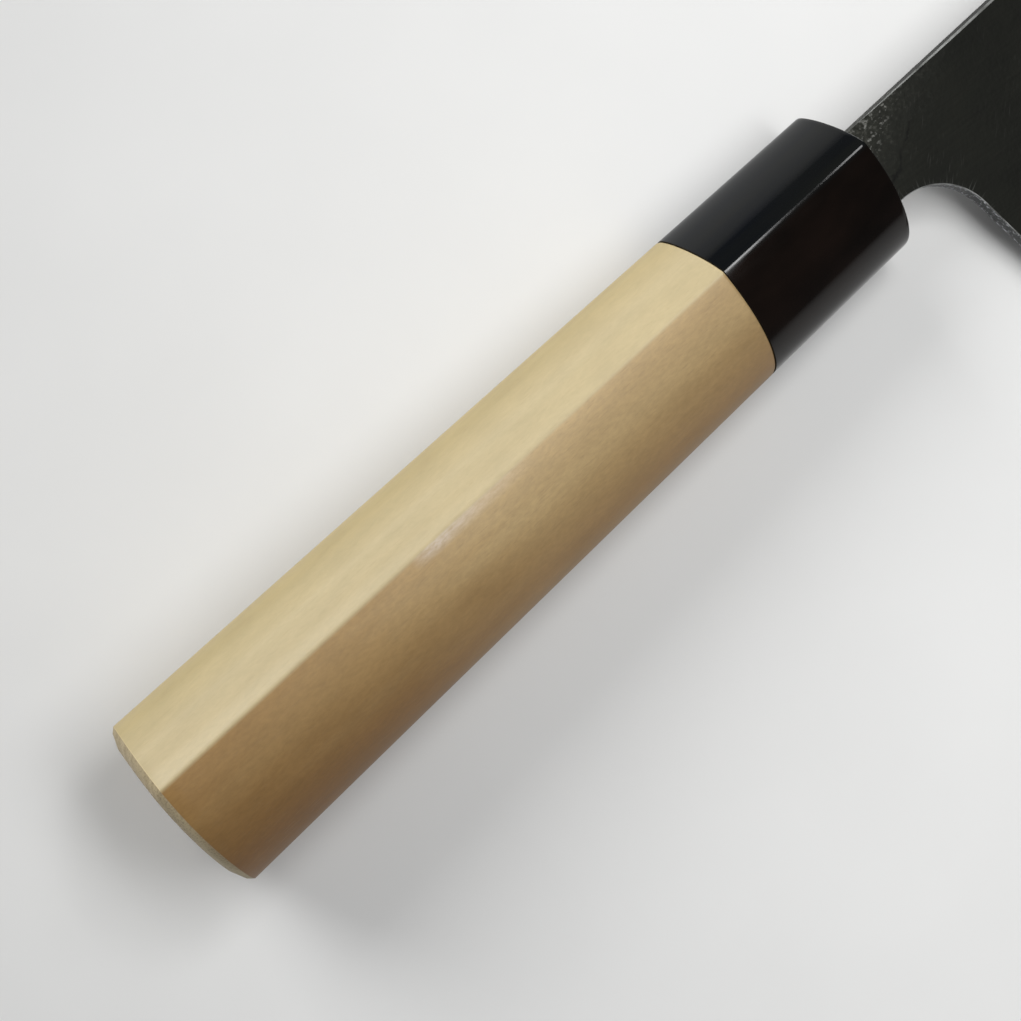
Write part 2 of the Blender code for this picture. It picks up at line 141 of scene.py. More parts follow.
# The wood's tone above the ridge, and below it painted shade and sheen: a painted sheen ahead of the middle,
# painted shade deepest at the butt
UPPER_TONE = (0.935, 0.97, 1.0)
FERRULE_SHADE_TONE = (0.86, 0.76, 0.65)
SHEEN_TONE = (0.97, 0.87, 0.76)
MIDDLE_SHADE_TONE = (0.77, 0.62, 0.45)
BUTT_SHADE_TONE = (0.62, 0.45, 0.27)
SHADE_WAVER = 0.35
RIDGE_SHADE_DEPTH = 0.0005

# The grip's flanks: greener and darker at the top edge, and painted shade towards the bottom
TOP_ABOVE_RIDGE = 0.30
TOP_TONE = (0.90, 0.87, 0.74)
BOTTOM_SHADE_TONE = (0.68, 0.57, 0.44)

# A stretch beside the ridge that the hand has polished: smoother, and painted paler as a painted highlight
POLISH_START = -0.0840
POLISH_LENGTH = 0.0215
POLISH_DEPTH = 0.0020
POLISH_HIGHLIGHT_TONE = (0.64, 0.58, 0.52)
POLISH_HIGHLIGHT_SHARE = 0.55
POLISHED_ROUGHNESS = 0.34

# The arrises at the wood's ends are painted paler as a painted highlight, and past the steeper facing the
# end grain starts
ARRIS_HIGHLIGHT_TONE = (1.13, 1.17, 1.22)
ARRIS_HIGHLIGHT_FACING = 0.2
END_GRAIN_FACING = 0.55

# The end grain: where the tree's centre lay beside the handle, how its rings waver, and its tones
PITH = Vector((0.034, -0.052))
RING_WAVER = 0.004
END_GRAIN_DARK = (0.335, 0.264, 0.150)
END_GRAIN_PALE = (0.410, 0.332, 0.198)

# The horn: a painted blue-tinged reflection above the ridge, brownish below it; its rounded ridge has the
# brightest polish
HORN_BLUE_REFLECTION = ((0.0018, 0.0026, 0.0042), (0.0060, 0.0064, 0.0056))
HORN_BROWNISH = ((0.0034, 0.0021, 0.0015), (0.0078, 0.0044, 0.0031))
HORN_TONE_DEPTH = 0.0009
HORN_GLOSS = 0.16
HORN_RIDGE_GLOSS = 0.27

# The forge scale, and what scratches and file marks lay bare in it
FORGED_DARK = (0.0042, 0.0047, 0.0030)
FORGED_PALE = (0.0102, 0.0108, 0.0077)
SCRATCH_TONE = (0.030, 0.030, 0.027)
CHOIL_MARK_TONE = (0.075, 0.076, 0.070)
CHOIL_MARK_REACH = 0.0024
FORGED_METALLIC = 0.4
FORGED_GLOSS = 0.22

# The neck's scale is coarser and rubbed, and fades out on the cheek over this share of the facet's length
NECK_FADE = 0.45
NECK_TONES = ((0.014, 0.015, 0.011), (0.036, 0.037, 0.029), (0.13, 0.13, 0.11))
NECK_FLECK_TONE = (0.38, 0.38, 0.35)
NECK_SEAM_TONE = (0.002, 0.002, 0.0015)
NECK_SEAM_WIDTH = 0.03
NECK_SEAM_WAVER = 0.5

# How far ragged wear reaches above the ground bevel
SHINOGI_WEAR = 0.006
SHINOGI_WEAR_TONE = (0.24, 0.24, 0.225)

# The ground bevel: iron above the whetstone's wavering line, steel below it
IRON_TONES = ((0.24, 0.245, 0.245), (0.34, 0.345, 0.34))
STEEL_TONES = ((0.40, 0.41, 0.42), (0.50, 0.51, 0.52))
LAMINATION_TONE = (0.13, 0.135, 0.14)
LAMINATION_WAVE = 0.00014
LAMINATION_BLUR = 0.000035

# The filed walls, and how much barer they are at their rims than at the blade's middle plane: the dark scale
# is a painted dark reflection, the bare rims painted glints
FILED_TONES = ((0.40, 0.41, 0.44), (0.68, 0.70, 0.75))
FILED_SCALE_AND_DARK_REFLECTION = (0.020, 0.022, 0.021)
FILED_METALLIC = 0.9
RIM_GLINT_BARENESS = 0.20

# Rubbed arrises of the blade, paler in broken stretches as painted highlights, the resin, the floor and the
# studio's air
WORN_AND_HIGHLIGHT_TONES = ((0.075, 0.077, 0.070), (0.32, 0.325, 0.315))
WORN_METALLIC = 0.7
RESIN_TONES = ((0.07, 0.03, 0.012), (0.16, 0.07, 0.025))
FLOOR_TONES = ((0.76, 0.76, 0.75), (0.78, 0.78, 0.77))
FLOOR_HALF_SIZE = 8.0
WORLD_TONE = (0.95, 0.97, 1.0)
WORLD_STRENGTH = 0.14

# Cutters stand past what they cut, and stock is left outside the edge for grinding
OVERSHOOT = 0.005
GRINDING_STOCK = 0.0003

# Corners nearer than this are one corner
WELD_DISTANCE = 0.000002

# How far a Bezier curve's handles reach for a quarter round
QUARTER_ROUND = 0.5523

# Edges that turn more than this stay sharp, and faces within the flat angle count as facing the same way
SMOOTH_ANGLE = math.radians(26)
BLADE_SMOOTH_ANGLE = math.radians(1.5)
FLAT_ANGLE = math.radians(0.05)

# How squarely a face faces out of a side to belong to it, as the normal's part that way
PLATE_FACING = 0.9
CHEEK_FACING = 0.98
ARRIS_FACING = 0.2
HALF_FACING = 0.5
FACING_SPARE = 0.02

BELOW_AXIS = SPINE_LEVEL - HEEL_HEIGHT
NECK_LEVEL = SPINE_LEVEL - NECK_HEIGHT
TIP_LEVEL = SPINE_LEVEL - TIP_DROP
EDGE_TAPER = (SPINE_THICKNESS - SHINOGI_THICKNESS) / 2 / (HEEL_HEIGHT - SHINOGI_RISE)
TIP_TAPER = (SPINE_THICKNESS - SPINE_TIP_THICKNESS) / 2 / BLADE_REACH
TANG_TAPER = (SPINE_THICKNESS - TANG_END_THICKNESS) / 2 / TANG_LENGTH
BEVEL_SLOPE = SHINOGI_THICKNESS / 2 / SHINOGI_RISE
SECTION_GROWTH = (BUTT_HEIGHT / SECTION_HEIGHT - 1) / HANDLE_LENGTH
EDGE_RISE = TIP_LEVEL - TIP_BLUNT / 2 - BELOW_AXIS

# The surfaces of the blade, the wood and the horn, each with its own material
FORGED, GROUND, FILED, WORN_AND_HIGHLIGHT = range(4)
WOOD_SIDE, ARRIS_HIGHLIGHT, END_GRAIN = range(3)
HORN_SIDE, HORN_RIDGE = range(2)

# Camera in the knife's frame, worked out from the photograph's perspective
CAMERA_PLACE = Vector((-0.11888, 0.04958, 0.26973))
CAMERA_TURN = Euler((math.radians(-0.654), math.radians(-14.909), math.radians(-41.949)))
CAMERA_LENS = 73.8
CAMERA_SENSOR = 36.0
CAMERA_CLIP = (0.01, 50.0)


# Mesh helpers


def mesh_object(name, mesh):
    body = bpy.data.objects.new(name, mesh)
    bpy.context.scene.collection.objects.link(body)
    return body


def loft(name, rings):
    """Join rings of equally many points into one closed body with flat ends."""
    shape = bmesh.new()
    rows = [[shape.verts.new(point) for point in ring] for ring in rings]
    count = len(rings[0])
    for first, second in zip(rows, rows[1:]):
        for side in range(count):
            following = (side + 1) % count
            shape.faces.new((first[side], first[following], second[following], second[side]))
    shape.faces.new(reversed(rows[0]))
    shape.faces.new(rows[-1])
    bmesh.ops.recalc_face_normals(shape, faces=shape.faces)
    mesh = bpy.data.meshes.new(name)
    shape.to_mesh(mesh)
    shape.free()
    return mesh_object(name, mesh)


def apply_modifiers(body):
    bpy.context.view_layer.update()
    depsgraph = bpy.context.evaluated_depsgraph_get()
    finished = bpy.data.meshes.new_from_object(body.evaluated_get(depsgraph))
    body.modifiers.clear()
    body.data = finished


def boolean(body, cutter, operation="DIFFERENCE"):
    """Cut or join a body at once, and drop the cutter."""
    modifier = body.modifiers.new(cutter.name, "BOOLEAN")
    modifier.object = cutter
    modifier.operation = operation
    modifier.solver = "EXACT"
    apply_modifiers(body)
    bpy.data.objects.remove(cutter, do_unlink=True)


def bevel_edges(body, chosen, width, segments):
    """Round off the edges that the test picks."""
    shape = bmesh.new()
    shape.from_mesh(body.data)
    edges = [edge for edge in shape.edges if chosen(edge)]
    bmesh.ops.bevel(
        shape,
        geom=edges,
        offset=width,
        offset_type="OFFSET",
        segments=segments,
        profile=0.5,
        affect="EDGES",
        clamp_overlap=True,
    )
    bmesh.ops.remove_doubles(shape, verts=shape.verts, dist=WELD_DISTANCE)
    shape.to_mesh(body.data)
    shape.free()


def split_wide_faces(body):
    """Cut flat faces with many corners into triangles that aren't slivers."""
    shape = bmesh.new()
    shape.from_mesh(body.data)
    wide = [face for face in shape.faces if len(face.verts) > 4]
    bmesh.ops.triangulate(shape, faces=wide, quad_method="BEAUTY", ngon_method="BEAUTY")
    shape.to_mesh(body.data)
    shape.free()


def paint_zones(body, zone_of):
    """Give each face the material of the zone it belongs to."""
    for face in body.data.polygons:
        face.material_index = zone_of(face)


def finish_piece(body, node, materials, smooth_angle):
    """Shade a piece, give it its materials, lay it down and let it stand for its node."""
    split_wide_faces(body)
    for material in materials:
        body.data.materials.append(material)
    body.data.shade_smooth()
    body.data.set_sharp_from_angle(angle=smooth_angle)
    body.data.transform(REST)
    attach(body, "root")
    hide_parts(node)


# Handle and ferrule


def bezier(start, first, second, end, steps):
    """Points of one curve piece, without its last point."""
    points = []
    for step in range(steps):
        t = step / steps
        s = 1 - t
        points.append(start * s**3 + first * 3 * s * s * t + second * 3 * s * t * t + end * t**3)
    return points


def section_points():
    """The D section: two facets that meet in the ridge on the right, and a round left side."""
    ridge = Vector((RIDGE_HEIGHT, RIGHT_DEPTH))
    top = Vector((SECTION_HEIGHT / 2, WIDEST_DEPTH))
    left = Vector((0, -LEFT_DEPTH))
    bottom = Vector((-SECTION_HEIGHT / 2, WIDEST_DEPTH))
    round_depth = Vector((0, QUARTER_ROUND * (LEFT_DEPTH + WIDEST_DEPTH)))
    round_height = Vector((QUARTER_ROUND * SECTION_HEIGHT / 2, 0))
    upper_way = Vector((math.cos(UPPER_FACET_ANGLE), -math.sin(UPPER_FACET_ANGLE)))
    lower_way = Vector((-math.cos(LOWER_FACET_ANGLE), -math.sin(LOWER_FACET_ANGLE)))
    upper_end = top + Vector((0, UPPER_FACET_END_REACH))
    lower_end = bottom + Vector((0, LOWER_FACET_END_REACH))
    points = bezier(ridge, ridge + upper_way * UPPER_FACET_REACH, upper_end, top, SECTION_STEPS)
    points += bezier(top, top - round_depth, left + round_height, left, SECTION_STEPS)
    points += bezier(left, left - round_height, bottom - round_depth, bottom, SECTION_STEPS)
    points += bezier(bottom, lower_end, ridge + lower_way * LOWER_FACET_REACH, ridge, SECTION_STEPS)
    return points


def section_ring(x):
    """The section at x, at the size the handle has there."""
    growth = 1 - SECTION_GROWTH * x
    return [Vector((x, *(point * growth))) for point in section_points()]


def crowned_butt(level):
    """Where the butt face lies at a height above the axis."""
    return -HANDLE_LENGTH + BUTT_CROWN * (level / (BUTT_HEIGHT / 2)) ** 2


def crown_planes():
    """The flats that the crowned butt face is sanded to."""
    levels = [BUTT_HEIGHT * (step / CROWN_STEPS - 0.5) for step in range(CROWN_STEPS + 1)]
    places = [Vector((crowned_butt(level), level, 0)) for level in levels]
    planes = []
    for low, high in zip(places, places[1:]):
        along = high - low
        planes.append((low, Vector((-along.y, along.x, 0))))
    return planes


def rim_planes(rim, face_at, inwards, facets):
    """The flats of a chamfered rim, along each side of the section. Inwards is the way from the end face."""
    planes = []
    for start, end in zip(rim, rim[1:] + rim[:1]):
        side = Vector((0, end.z - start.z, start.y - end.y)).normalized()
        if side.dot(start) < 0:
            side = -side
        for lean, reach in facets:
            first, second = (
                Vector((face_at(corner.y) + inwards * reach, corner.y, corner.z)) for corner in (start, end)
            )
            outward = (second - first).cross(side * lean + Vector((inwards, 0, 0)))
            planes.append((first, outward if outward.dot(side) > 0 else -outward))
    return planes


def middle(edge):
    return (edge.verts[0].co + edge.verts[1].co) / 2


def runs_along(edge):
    return abs(edge.verts[0].co.x - edge.verts[1].co.x) > WELD_DISTANCE


def is_ridge(edge):
    """Whether an edge is a sharp corner that runs along the handle."""
    return runs_along(edge) and len(edge.link_faces) == 2 and edge.calc_face_angle() > SMOOTH_ANGLE


def is_front_rim(edge):
    """Whether an edge lies round the ferrule's front face."""
    return not runs_along(edge) and middle(edge).x > -WELD_DISTANCE


def axial_cylinder(name, radius, front_x, back_x):
    rings = []
    for x in (front_x, back_x):
        turns = [2 * math.pi * side / ROUND_SIDES for side in range(ROUND_SIDES)]
        rings.append([Vector((x, radius * math.cos(turn), radius * math.sin(turn))) for turn in turns])
    return loft(name, rings)


def tang_half_height(x):
    share = min(max(-x / TANG_LENGTH, 0), 1)
    return (TANG_ROOT_HEIGHT + (TANG_END_HEIGHT - TANG_ROOT_HEIGHT) * share) / 2


def bar_half_thickness(x, level):
    """Half the forged bar's thickness: it tapers to the edge, to the tip and to the tang's end."""
    lengthwise = TIP_TAPER * x if x > 0 else TANG_TAPER * -x
    return SPINE_THICKNESS / 2 - EDGE_TAPER * (SPINE_LEVEL - level) - lengthwise


def tang_ring(x, spare):
    """The tang's section at x with room round it."""
    high = tang_half_height(x) + spare
    wide = bar_half_thickness(min(x, 0), tang_half_height(x)) + spare
    corners = ((high, wide), (-high, wide), (-high, -wide), (high, -wide))
    return [Vector((x, *corner)) for corner in corners]


def wood_zone(face):
    """Which of the wood's surfaces a face belongs to, from the way it faces."""
    facing = abs(face.normal.x)
    if facing > END_GRAIN_FACING:
        return END_GRAIN
    return ARRIS_HIGHLIGHT if facing > ARRIS_HIGHLIGHT_FACING else WOOD_SIDE


def make_handle(materials):
    front = -FERRULE_LENGTH - GLUE_LINE
    front_ring = section_ring(front)
    back_ring = section_ring(-HANDLE_LENGTH - GRINDING_STOCK)
    wood = loft("handle_of_wood", [front_ring, section_ring(HANDLE_BACK_RING), back_ring])
    bevel_edges(wood, is_ridge, RIDGE_ROUND, ROUND_SEGMENTS)
    grind(wood, rim_planes(back_ring, crowned_butt, 1, BUTT_FACETS) + crown_planes())
    grind(wood, rim_planes(front_ring, lambda level: front, -1, FRONT_FACETS))
    tenon = axial_cylinder("tenon", TENON_RADIUS, -TENON_SETBACK, front - OVERSHOOT)
    boolean(wood, tenon, "UNION")
    stations = (OVERSHOOT, 0, -TANG_LENGTH, -TANG_LENGTH - SLOT_END_SPARE)
    boolean(wood, loft("slot", [tang_ring(x, SLOT_SPARE) for x in stations]))
    paint_zones(wood, wood_zone)
    finish_piece(wood, "handle_wood", materials, SMOOTH_ANGLE)
    return wood


def horn_zone(face):
    """The rounded ridge's faces face between the ways of its two facets."""
    facing = face.normal
    lowest = FACING_SPARE - math.sin(LOWER_FACET_ANGLE)
    highest = math.sin(UPPER_FACET_ANGLE) - FACING_SPARE
    return HORN_RIDGE if facing.z > HALF_FACING and lowest < facing.y < highest else HORN_SIDE


def make_ferrule(materials):
    horn = loft("ferrule_of_horn", [section_ring(x) for x in (0, FERRULE_FRONT_RING, -FERRULE_LENGTH)])
    bevel_edges(horn, is_ridge, HORN_RIDGE_ROUND, ROUND_SEGMENTS)
    bevel_edges(horn, is_front_rim, RIM_ROUND, ROUND_SEGMENTS)
    bore = axial_cylinder("bore", TENON_RADIUS + TENON_CLEARANCE, OVERSHOOT, -FERRULE_LENGTH - OVERSHOOT)
    boolean(horn, bore)
    paint_zones(horn, horn_zone)
    finish_piece(horn, "ferrule_horn", materials, SMOOTH_ANGLE)
    return horn


# Blade profile


def spine_level(x):
    bend = max(x - SPINE_BEND_START, 0) / (BLADE_REACH - SPINE_BEND_START)
    return SPINE_LEVEL - (TIP_DROP - TIP_BLUNT / 2) * bend**SPINE_BEND_POWER


def choil_point(angle):
    """A point of the round hollow between the neck and the heel line."""
    centre = Vector((CHOIL_START, NECK_LEVEL - CHOIL_RADIUS))
    return centre + CHOIL_RADIUS * Vector((math.cos(angle), math.sin(angle)))


def heel_point(level):
    """A point of the straight heel line, which leaves the choil without a corner."""
    choil_end = choil_point(HEEL_LEAN)
    return Vector((choil_end.x + (choil_end.y - level) * math.tan(HEEL_LEAN), level))


def edge_point(share):
    """A point of the cutting edge, from the heel at 0 to the tip at 1."""
    heel = heel_point(BELOW_AXIS)
    return Vector((heel.x + (BLADE_REACH - heel.x) * share, BELOW_AXIS + EDGE_RISE * share**BELLY_POWER))


def inward(start, end):
    """The direction into the blade, square to a stretch of the edge."""
    along = (end - start).normalized()
    return Vector((-along.y, along.x))


def edge_stretches():
    """The cutting edge as straight stretches from the heel to the tip."""
    points = [edge_point(step / EDGE_STEPS) for step in range(EDGE_STEPS + 1)]
    return list(zip(points, points[1:]))


def spine_points():
    """The spine line from the shoulder, straight at first and then bent down to the tip."""
    points = [Vector((SHOULDER_GAP, SPINE_LEVEL))]
    for step in range(SPINE_STEPS + 1):
        x = SPINE_BEND_START + (BLADE_REACH - SPINE_BEND_START) * step / SPINE_STEPS
        points.append(Vector((x, spine_level(x))))
    return points


def blade_outline():
    """The forged profile with its tang, with some stock outside the edge for the grinding."""
    tang_top = TANG_ROOT_HEIGHT / 2
    outline = [
        Vector((-TANG_LENGTH, TANG_END_HEIGHT / 2)),
        Vector((0, tang_top)),
        Vector((SHOULDER_GAP, tang_top)),
    ]
    outline += spine_points()
    for start, end in reversed(edge_stretches()):
        stock = end - inward(start, end) * GRINDING_STOCK
        outline.append(Vector((min(stock.x, BLADE_REACH), stock.y)))
    outline.append(heel_point(BELOW_AXIS - GRINDING_STOCK))
    for step in range(CHOIL_STEPS + 1):
        point = choil_point(HEEL_LEAN + (math.radians(90) - HEEL_LEAN) * step / CHOIL_STEPS)
        if point.x > SHOULDER_GAP:
            outline.append(point)
    outline += [
        Vector((SHOULDER_GAP, NECK_LEVEL)),
        Vector((SHOULDER_GAP, -tang_top)),
        Vector((0, -tang_top)),
        Vector((-TANG_LENGTH, -TANG_END_HEIGHT / 2)),
    ]
    return outline


def profiled_plate(name, low, high):
    """A plate of the blade's outline between two heights."""
    outline = blade_outline()
    rings = [[Vector((*point, level)) for point in outline] for level in (low, high)]
    return loft(name, rings)


# Blade thickness


def cheek_planes(side):
    """The flats of the forged bar on one side: one runs to the tip, the other to the tang's end."""
    place = Vector((0, SPINE_LEVEL, side * SPINE_THICKNESS / 2))
    return [
        (place, Vector((TIP_TAPER, -EDGE_TAPER, side))),
        (place, Vector((-TANG_TAPER, -EDGE_TAPER, side))),
    ]


def bevel_planes(side):
    """The flats that grinding leaves on one side, one along each stretch of the edge."""
    planes = []
    for start, end in edge_stretches():
        rise = inward(start, end) * BEVEL_SLOPE
        planes.append((Vector((*start, 0)), Vector((-rise.x, -rise.y, side))))
    return planes


def ease_planes(side):
    """The small chamfer along the spine's corner on one side."""
    planes = []
    points = spine_points()
    for start, end in zip(points, points[1:]):
        low_start = Vector((*start, side * (bar_half_thickness(*start) - SPINE_EASE)))
        low_end = Vector((*end, side * (bar_half_thickness(*end) - SPINE_EASE)))
        inset = start - Vector((0, SPINE_EASE))
        on_cheek = Vector((*inset, side * bar_half_thickness(*inset)))
        planes.append((low_start, (on_cheek - low_start).cross(low_end - low_start) * side))
    return planes


def neck_cutter(side, facet_foot, facet_length, facet_depth):
    """Takes a forged facet off a cheek: it dips towards the spine and the ferrule."""
    back = -TENON_SETBACK / 2
    top = SPINE_LEVEL + OVERSHOOT
    foot = SPINE_LEVEL - facet_foot - OVERSHOOT
    front = facet_length / facet_foot * (top - foot)
    flat = []
    outside = []
    for x, level in ((back, foot), (front, top), (back, top)):
        below_spine = SPINE_LEVEL - level
        dip = facet_depth * (1 - x / facet_length - below_spine / facet_foot)
        cheek = SPINE_THICKNESS / 2 - EDGE_TAPER * below_spine - TIP_TAPER * x
        flat.append(Vector((x, level, side * (cheek - dip))))
        outside.append(Vector((x, level, side * SPINE_THICKNESS)))
    return loft("neck_facet", [flat, outside])


def grind(body, planes):
    """Cut away all that stands outside each plane, and close the cut with a flat face."""
    shape = bmesh.new()
    shape.from_mesh(body.data)
    for place, outward in planes:
        everything = shape.verts[:] + shape.edges[:] + shape.faces[:]
        cut = bmesh.ops.bisect_plane(
            shape,
            geom=everything,
            dist=WELD_DISTANCE,
            plane_co=place,
            plane_no=outward.normalized(),
            clear_outer=True,
        )
        edges = [item for item in cut["geom_cut"] if isinstance(item, bmesh.types.BMEdge)]
        bmesh.ops.holes_fill(shape, edges=[edge for edge in edges if edge.is_boundary])
    bmesh.ops.recalc_face_normals(shape, faces=shape.faces)
    shape.to_mesh(body.data)
    shape.free()


def make_layer(name, low, high, ground_sides):
    """One layer of the bar between two heights, ground on its outer sides."""
    layer = profiled_plate(name, low, high)
    for side in ground_sides:
        grind(layer, cheek_planes(side) + bevel_planes(side) + ease_planes(side))
    return layer


def leaves_the_cheek(edge):
    """Whether an edge runs between a cheek and the neck's, the choil's or the heel's wall."""
    if len(edge.link_faces) != 2:
        return False
    low, high = sorted(abs(face.normal.z) for face in edge.link_faces)
    place = middle(edge)
    on_cheek = abs(place.z) > CORE_THICKNESS and SHOULDER_GAP / 2 < place.x < SPINE_BEND_START
    return low < HALF_FACING and high > PLATE_FACING and on_cheek and place.y < NECK_LEVEL + WELD_DISTANCE


def blade_zone(face):
    """Which of the blade's surfaces a face belongs to, from the way it faces."""
    place, facing = face.center, face.normal
    if abs(facing.z) > CHEEK_FACING:
        outward = [plane.normalized() for side in (1, -1) for _, plane in cheek_planes(side)]
        flat = math.cos(FLAT_ANGLE)
        on_cheek = max(facing.dot(way) for way in outward) > flat
        near_neck = place.x < SPINE_BEND_START and place.y > NECK_LEVEL - OVERSHOOT
        inside = abs(place.z) < CORE_THICKNESS / 2 + 2 * LAMINATION_GAP and abs(facing.z) > flat
        return FORGED if on_cheek or near_neck or inside else GROUND
    if abs(facing.z) > ARRIS_FACING:
        return WORN_AND_HIGHLIGHT
    return FORGED if facing.y > HALF_FACING else FILED


def make_core(materials):
    core = make_layer("core_of_steel", -CORE_THICKNESS / 2, CORE_THICKNESS / 2, (1, -1))
    paint_zones(core, blade_zone)
    finish_piece(core, "blade_core", materials, BLADE_SMOOTH_ANGLE)
    return core


def make_cladding(side, materials):
    inner = side * (CORE_THICKNESS / 2 + LAMINATION_GAP)
    outer = side * SPINE_THICKNESS
    name = "right" if side > 0 else "left"
    cladding = make_layer("cladding_on_the_" + name, min(inner, outer), max(inner, outer), (side,))
    for facet in NECK_FACETS:
        boolean(cladding, neck_cutter(side, *facet))
    bevel_edges(cladding, leaves_the_cheek, BLADE_RIM_ROUND, BLADE_ROUND_SEGMENTS)
    paint_zones(cladding, blade_zone)
    finish_piece(cladding, "blade_cladding_" + name, materials, BLADE_SMOOTH_ANGLE)
    return cladding


# Materials


class Shader:
    """A material's node tree, built up in short calls. Places are in the knife's own frame."""

    def __init__(self, name):
        self.material = bpy.data.materials.new(name)
        self.material.use_nodes = True
        self.tree = self.material.node_tree
        self.surface = self.tree.nodes["Principled BSDF"]

    def add(self, kind, **settings):
        node = self.tree.nodes.new(kind)
        for key, value in settings.items():
            setattr(node, key, value)
        return node

    def link(self, source, target):
        self.tree.links.new(source, target)

    def knife_place(self):
        """Places in the knife's own frame, whichever way it lies."""
        mapping = self.add("ShaderNodeMapping", vector_type="TEXTURE")
        self.link(self.add("ShaderNodeTexCoord").outputs["Object"], mapping.inputs["Vector"])
        mapping.inputs["Location"].default_value = REST_PLACE
        mapping.inputs["Rotation"].default_value = (REST_ROLL, REST_PITCH, 0)
        return mapping.outputs["Vector"]

    def axes(self):
        parts = self.add("ShaderNodeSeparateXYZ")
        self.link(self.knife_place(), parts.inputs["Vector"])
        return parts.outputs

    def place(self, scale, turn=0.0):
        """Places turned about the knife's Z, then stretched by a scale per axis."""
        turned = self.add("ShaderNodeMapping")
        self.link(self.knife_place(), turned.inputs["Vector"])
        turned.inputs["Rotation"].default_value = (0, 0, turn)
        stretched = self.add("ShaderNodeMapping")
        self.link(turned.outputs["Vector"], stretched.inputs["Vector"])
        stretched.inputs["Scale"].default_value = scale
        return stretched.outputs["Vector"]

    def noise(self, scale, detail=4.0, roughness=0.5, distortion=0.0, turn=0.0):
        """Noise whose grains are about one over the scale in metres along each axis."""
        noise = self.add("ShaderNodeTexNoise")
        self.link(self.place(scale, turn), noise.inputs["Vector"])
        noise.inputs["Scale"].default_value = 1.0
        noise.inputs["Detail"].default_value = detail
        noise.inputs["Roughness"].default_value = roughness
        noise.inputs["Distortion"].default_value = distortion
        return noise.outputs["Fac"]

    def noise_along(self, value, scale, detail):
        """Noise that changes along one value only."""
        noise = self.add("ShaderNodeTexNoise", noise_dimensions="1D")
        self.link(value, noise.inputs["W"])
        noise.inputs["Scale"].default_value = scale
        noise.inputs["Detail"].default_value = detail
        return noise.outputs["Fac"]

    def ramp(self, value, *stops):
        """A colour or grey ramp over a value, from pairs of a position and a grey or a colour."""
        ramp = self.add("ShaderNodeValToRGB")
        self.link(value, ramp.inputs["Fac"])
        elements = ramp.color_ramp.elements
        while len(elements) < len(stops):
            elements.new(0.5)
        for element, (position, colour) in zip(elements, stops):
            element.position = position
            grey = isinstance(colour, (int, float))
            element.color = (colour, colour, colour, 1) if grey else (*colour, 1)
        return ramp.outputs["Color"]

    def mix(self, share, first, second, mode="MIX"):
        """Blend two colours, each a socket or a colour written out."""
        mix = self.add("ShaderNodeMix", data_type="RGBA", blend_type=mode)
        mix.clamp_factor = True
        for socket, value in ((mix.inputs[0], share), (mix.inputs[6], first), (mix.inputs[7], second)):
            if isinstance(value, bpy.types.NodeSocket):
                self.link(value, socket)
            elif isinstance(value, (int, float)):
                socket.default_value = value
            else:
                socket.default_value = (*value, 1)
        return mix.outputs[2]

    def tint(self, colour, tone):
        """A colour times a tone."""
        return self.mix(1.0, colour, tone, "MULTIPLY")

    def math(self, operation, *values):
        node = self.add("ShaderNodeMath", operation=operation)
        for socket, value in zip(node.inputs, values):
            if isinstance(value, bpy.types.NodeSocket):
                self.link(value, socket)
            else:
                socket.default_value = value
        return node.outputs[0]

    def length(self, first, second):
        """How long the slanting side is over two sides at right angles."""
        squares = [self.math("MULTIPLY", side, side) for side in (first, second)]
        return self.math("SQRT", self.math("ADD", *squares))

    def bump(self, height, depth):
        """Relief of the given depth in metres."""
        bump = self.add("ShaderNodeBump")
        self.link(height, bump.inputs["Height"])
        bump.inputs["Distance"].default_value = depth
        return bump.outputs["Normal"]

    def below_ridge(self):
        """How far below the handle's ridge line a place lies, the handle's growth counted in."""
        x, y, _ = self.axes()
        growth = self.math("ADD", 1.0, self.math("MULTIPLY", x, -SECTION_GROWTH))
        return self.math("SUBTRACT", self.math("MULTIPLY", growth, RIDGE_HEIGHT), y)

    def scratches(self, turn):
        """A mask of short faint scratches that run at a turn to the blade's length."""
        fine = self.ramp(self.noise((320, 5200, 5200), detail=1, turn=turn), (0.66, 0.0), (0.76, 0.8))
        patches = self.ramp(self.noise((120, 120, 120), detail=2), (0.52, 0.0), (0.66, 1.0))
        return self.math("MULTIPLY", fine, patches)

    def choil_marks(self):
        """A mask of short file marks that spread from the choil's rim."""
        x, y, _ = self.axes()
        aside = self.math("SUBTRACT", x, CHOIL_START)
        above = self.math("SUBTRACT", y, NECK_LEVEL - CHOIL_RADIUS)
        turn = self.math("ARCTAN2", above, aside)
        away = self.math("SUBTRACT", self.length(aside, above), CHOIL_RADIUS)
        strokes = self.ramp(self.noise_along(turn, scale=34, detail=5), (0.50, 0.0), (0.80, 1.0))
        reach = self.math("MULTIPLY", strokes, CHOIL_MARK_REACH)
        left = self.math("DIVIDE", self.math("SUBTRACT", reach, away), CHOIL_MARK_REACH)
        return self.ramp(left, (0.0, 0.0), (0.6, 0.5))

    def neck_dip(self):
        """How deep in the neck's facet a place lies: 1 at the spine's corner, 0 on the facet's edge."""
        facet_foot, facet_length, _ = NECK_FACETS[0]
        x, y, _ = self.axes()
        across = self.math("DIVIDE", self.math("SUBTRACT", SPINE_LEVEL, y), facet_foot)
        return self.math("SUBTRACT", 1.0, self.math("ADD", self.math("DIVIDE", x, facet_length), across))

